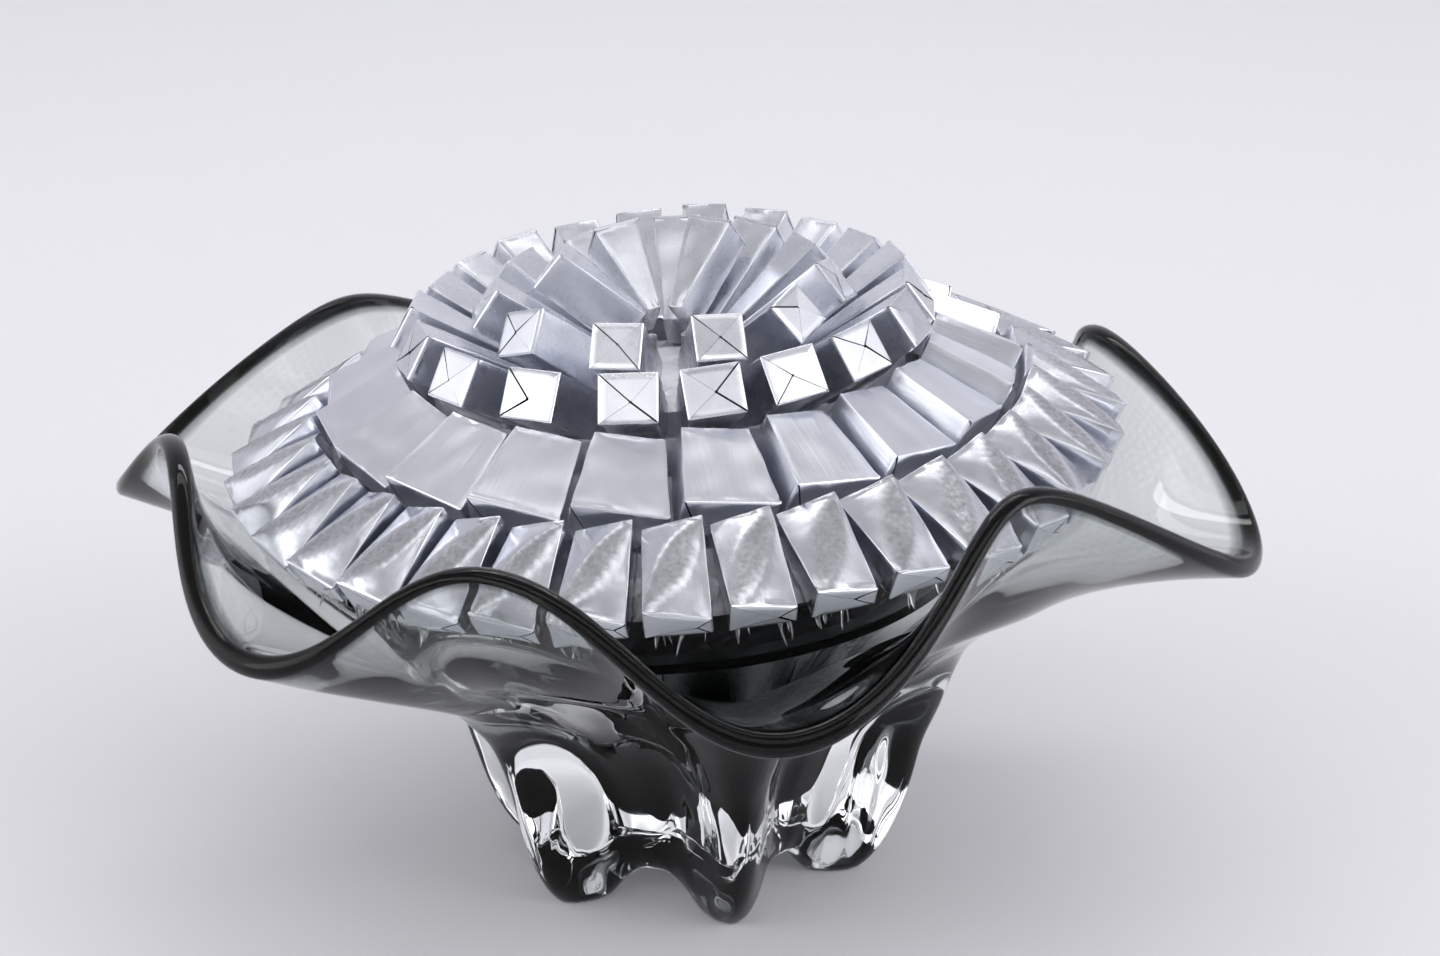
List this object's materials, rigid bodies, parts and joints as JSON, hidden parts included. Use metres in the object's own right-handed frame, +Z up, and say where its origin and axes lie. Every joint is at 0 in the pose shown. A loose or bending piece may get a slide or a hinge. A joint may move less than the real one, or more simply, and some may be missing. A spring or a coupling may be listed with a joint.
{
  "type": "bowl centrepiece",
  "caption": "Wavy smoke-glass bowl on clear pulled feet, filled with a dahlia-like mound of silver foil-wrapped bars.",
  "frame": {"origin": "middle of the part's box, on the floor under the feet", "axes": "+Z up out of the bowl's mouth, -Y towards the pictured front"},
  "size_m": [0.3388, 0.3385, 0.1952],
  "materials": {
    "clear_glass": "polished, clear",
    "smoke_glass": "polished, smoke grey",
    "foil": "satin foil, creased at the folds",
    "foam": "matt, fine-celled",
    "base_plate": "satin",
    "glue": "clear hot glue"
  },
  "bodies": {
    "bowl": {"clear_glass_casing": "clear_glass", "smoke_glass_lining": "smoke_glass"},
    "mound": {"support_disc": "base_plate", "foam_base": "foam", "foam_hub": "foam", "skirt_glue": "glue", "slab_glue": "glue", "ray_glue": "glue", "crown_glue": "glue", "heart_glue": "glue", "skirt_bars_01": "foil", "skirt_bars_02": "foil", "skirt_bars_03": "foil", "skirt_bars_04": "foil", "skirt_bars_05": "foil", "skirt_bars_06": "foil", "slab_bars_01": "foil", "slab_bars_02": "foil", "slab_bars_03": "foil"},
    "ray_bar_01": {"ray_bar_01": "foil"},
    "ray_bar_02": {"ray_bar_02": "foil"},
    "ray_bar_03": {"ray_bar_03": "foil"},
    "ray_bar_04": {"ray_bar_04": "foil"},
    "ray_bar_05": {"ray_bar_05": "foil"},
    "ray_bar_06": {"ray_bar_06": "foil"},
    "ray_bar_07": {"ray_bar_07": "foil"},
    "ray_bar_08": {"ray_bar_08": "foil"},
    "ray_bar_09": {"ray_bar_09": "foil"},
    "ray_bar_10": {"ray_bar_10": "foil"},
    "ray_bar_11": {"ray_bar_11": "foil"},
    "ray_bar_12": {"ray_bar_12": "foil"},
    "ray_bar_13": {"ray_bar_13": "foil"},
    "ray_bar_14": {"ray_bar_14": "foil"},
    "ray_bar_15": {"ray_bar_15": "foil"},
    "ray_bar_16": {"ray_bar_16": "foil"},
    "ray_bar_17": {"ray_bar_17": "foil"},
    "ray_bar_18": {"ray_bar_18": "foil"},
    "ray_bar_19": {"ray_bar_19": "foil"},
    "ray_bar_20": {"ray_bar_20": "foil"},
    "crown_bar_01": {"crown_bar_01": "foil"},
    "crown_bar_02": {"crown_bar_02": "foil"},
    "crown_bar_03": {"crown_bar_03": "foil"},
    "crown_bar_04": {"crown_bar_04": "foil"},
    "crown_bar_05": {"crown_bar_05": "foil"},
    "crown_bar_06": {"crown_bar_06": "foil"},
    "crown_bar_07": {"crown_bar_07": "foil"},
    "crown_bar_08": {"crown_bar_08": "foil"},
    "crown_bar_09": {"crown_bar_09": "foil"},
    "crown_bar_10": {"crown_bar_10": "foil"},
    "crown_bar_11": {"crown_bar_11": "foil"},
    "heart_bar_01": {"heart_bar_01": "foil"},
    "heart_bar_02": {"heart_bar_02": "foil"},
    "heart_bar_03": {"heart_bar_03": "foil"}
  },
  "joints": [
    {"name": "mound_lift", "type": "slide", "parent": "bowl", "child": "mound", "axis": [0, 0, 1], "range_m": [0, 0.09]},
    {"name": "ray_bar_01_pull", "type": "slide", "parent": "mound", "child": "ray_bar_01", "axis": [-0.8858, 0.0479, 0.4617], "range_m": [0, 0.05]},
    {"name": "ray_bar_02_pull", "type": "slide", "parent": "mound", "child": "ray_bar_02", "axis": [-0.8551, -0.245, 0.457], "range_m": [0, 0.05]},
    {"name": "ray_bar_03_pull", "type": "slide", "parent": "mound", "child": "ray_bar_03", "axis": [-0.6994, -0.5451, 0.4622], "range_m": [0, 0.05]},
    {"name": "ray_bar_04_pull", "type": "slide", "parent": "mound", "child": "ray_bar_04", "axis": [-0.4523, -0.7536, 0.477], "range_m": [0, 0.05]},
    {"name": "ray_bar_05_pull", "type": "slide", "parent": "mound", "child": "ray_bar_05", "axis": [-0.1455, -0.8542, 0.4992], "range_m": [0, 0.05]},
    {"name": "ray_bar_06_pull", "type": "slide", "parent": "mound", "child": "ray_bar_06", "axis": [0.1188, -0.8454, 0.5207], "range_m": [0, 0.05]},
    {"name": "ray_bar_07_pull", "type": "slide", "parent": "mound", "child": "ray_bar_07", "axis": [0.3673, -0.7552, 0.5429], "range_m": [0, 0.05]},
    {"name": "ray_bar_08_pull", "type": "slide", "parent": "mound", "child": "ray_bar_08", "axis": [0.5857, -0.5814, 0.5647], "range_m": [0, 0.05]},
    {"name": "ray_bar_09_pull", "type": "slide", "parent": "mound", "child": "ray_bar_09", "axis": [0.7467, -0.3183, 0.5841], "range_m": [0, 0.05]},
    {"name": "ray_bar_10_pull", "type": "slide", "parent": "mound", "child": "ray_bar_10", "axis": [0.8017, -0.0589, 0.5949], "range_m": [0, 0.05]},
    {"name": "ray_bar_11_pull", "type": "slide", "parent": "mound", "child": "ray_bar_11", "axis": [0.774, 0.2049, 0.5991], "range_m": [0, 0.05]},
    {"name": "ray_bar_12_pull", "type": "slide", "parent": "mound", "child": "ray_bar_12", "axis": [0.6744, 0.4349, 0.5967], "range_m": [0, 0.05]},
    {"name": "ray_bar_13_pull", "type": "slide", "parent": "mound", "child": "ray_bar_13", "axis": [0.5231, 0.616, 0.5889], "range_m": [0, 0.05]},
    {"name": "ray_bar_14_pull", "type": "slide", "parent": "mound", "child": "ray_bar_14", "axis": [0.3281, 0.7484, 0.5765], "range_m": [0, 0.05]},
    {"name": "ray_bar_15_pull", "type": "slide", "parent": "mound", "child": "ray_bar_15", "axis": [0.1043, 0.8217, 0.5603], "range_m": [0, 0.05]},
    {"name": "ray_bar_16_pull", "type": "slide", "parent": "mound", "child": "ray_bar_16", "axis": [-0.1309, 0.8304, 0.5416], "range_m": [0, 0.05]},
    {"name": "ray_bar_17_pull", "type": "slide", "parent": "mound", "child": "ray_bar_17", "axis": [-0.3592, 0.7738, 0.5218], "range_m": [0, 0.05]},
    {"name": "ray_bar_18_pull", "type": "slide", "parent": "mound", "child": "ray_bar_18", "axis": [-0.5629, 0.6562, 0.5025], "range_m": [0, 0.05]},
    {"name": "ray_bar_19_pull", "type": "slide", "parent": "mound", "child": "ray_bar_19", "axis": [-0.7264, 0.4868, 0.4852], "range_m": [0, 0.05]},
    {"name": "ray_bar_20_pull", "type": "slide", "parent": "mound", "child": "ray_bar_20", "axis": [-0.8368, 0.2786, 0.4712], "range_m": [0, 0.05]},
    {"name": "crown_bar_01_pull", "type": "slide", "parent": "mound", "child": "crown_bar_01", "axis": [-0.8424, -0.0688, 0.5345], "range_m": [0, 0.045]},
    {"name": "crown_bar_02_pull", "type": "slide", "parent": "mound", "child": "crown_bar_02", "axis": [-0.6756, -0.505, 0.5372], "range_m": [0, 0.045]},
    {"name": "crown_bar_03_pull", "type": "slide", "parent": "mound", "child": "crown_bar_03", "axis": [-0.2409, -0.789, 0.5653], "range_m": [0, 0.045]},
    {"name": "crown_bar_04_pull", "type": "slide", "parent": "mound", "child": "crown_bar_04", "axis": [0.2109, -0.7701, 0.6021], "range_m": [0, 0.045]},
    {"name": "crown_bar_05_pull", "type": "slide", "parent": "mound", "child": "crown_bar_05", "axis": [0.5616, -0.5291, 0.6362], "range_m": [0, 0.045]},
    {"name": "crown_bar_06_pull", "type": "slide", "parent": "mound", "child": "crown_bar_06", "axis": [0.7419, -0.1135, 0.6609], "range_m": [0, 0.045]},
    {"name": "crown_bar_07_pull", "type": "slide", "parent": "mound", "child": "crown_bar_07", "axis": [0.679, 0.3087, 0.6661], "range_m": [0, 0.045]},
    {"name": "crown_bar_08_pull", "type": "slide", "parent": "mound", "child": "crown_bar_08", "axis": [0.4196, 0.6303, 0.6531], "range_m": [0, 0.045]},
    {"name": "crown_bar_09_pull", "type": "slide", "parent": "mound", "child": "crown_bar_09", "axis": [0.0349, 0.7792, 0.6258], "range_m": [0, 0.045]},
    {"name": "crown_bar_10_pull", "type": "slide", "parent": "mound", "child": "crown_bar_10", "axis": [-0.422, 0.691, 0.5869], "range_m": [0, 0.045]},
    {"name": "crown_bar_11_pull", "type": "slide", "parent": "mound", "child": "crown_bar_11", "axis": [-0.7511, 0.3616, 0.5523], "range_m": [0, 0.045]},
    {"name": "heart_bar_01_pull", "type": "slide", "parent": "mound", "child": "heart_bar_01", "axis": [0.3389, 0.613, 0.7137], "range_m": [0, 0.04]},
    {"name": "heart_bar_02_pull", "type": "slide", "parent": "mound", "child": "heart_bar_02", "axis": [-0.3784, 0.6521, 0.657], "range_m": [0, 0.04]},
    {"name": "heart_bar_03_pull", "type": "slide", "parent": "mound", "child": "heart_bar_03", "axis": [-0.7872, 0.0885, 0.6103], "range_m": [0, 0.04]}
  ]
}
